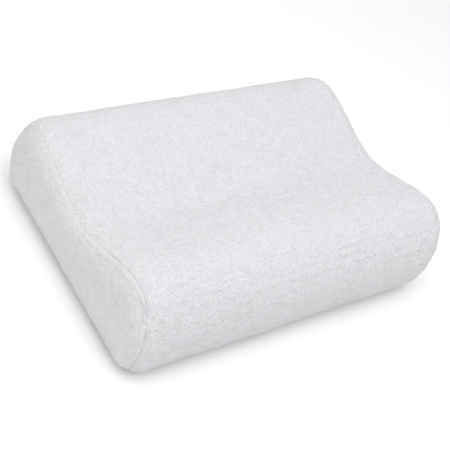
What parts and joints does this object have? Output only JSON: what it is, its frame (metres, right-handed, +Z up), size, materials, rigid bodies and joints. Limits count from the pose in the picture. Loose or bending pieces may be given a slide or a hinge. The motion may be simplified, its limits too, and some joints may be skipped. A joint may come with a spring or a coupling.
{
  "type": "contour neck support pillow",
  "caption": "Two-lobe contour pillow that supports the neck: moulded foam core in a thin liner, in a plush cover with a zip along its back.",
  "frame": {"origin": "middle of the flat base, on the surface that the pillow lies on", "axes": "+X along the pillow towards its right end, -Y towards the tall front lobe, +Y towards the low back lobe and the zip, +Z up"},
  "size_m": [0.48, 0.3454, 0.134],
  "materials": {
    "plush": "matte",
    "foam": "matte",
    "liner": "matte",
    "thread": "matte",
    "zip_tape": "matte",
    "zip_coil": "satin",
    "slider_enamel": "satin",
    "label": "matte"
  },
  "bodies": {
    "pillow": {"foam_core": "foam", "liner_sleeve": "liner", "liner_left_end": "liner", "liner_right_end": "liner", "cover_top_panel": "plush", "cover_base_panel": "plush", "cover_left_end_panel": "plush", "cover_right_end_panel": "plush", "left_end_seam_thread": "thread", "right_end_seam_thread": "thread", "front_seam_thread": "thread", "back_seam_thread_left": "thread", "back_seam_thread_right": "thread", "zip_tape_upper": "zip_tape", "zip_tape_lower": "zip_tape", "zip_coil_upper": "zip_coil", "zip_coil_lower": "zip_coil", "zip_top_stop_upper": "zip_coil", "zip_top_stop_lower": "zip_coil", "zip_bottom_stop": "zip_coil", "care_label": "label"},
    "slider": {"zip_slider": "slider_enamel"},
    "pull": {"zip_pull_tab": "slider_enamel"}
  },
  "joints": [
    {"name": "zip_slide", "type": "slide", "parent": "pillow", "child": "slider", "axis": [-1, 0, 0], "range_m": [0, 0.3304]},
    {"name": "pull_swing", "type": "hinge", "parent": "slider", "child": "pull", "pos_m": [0.1652, 0.17235, 0.049], "axis": [0, 0, -1], "range_deg": [0, 175]}
  ]
}
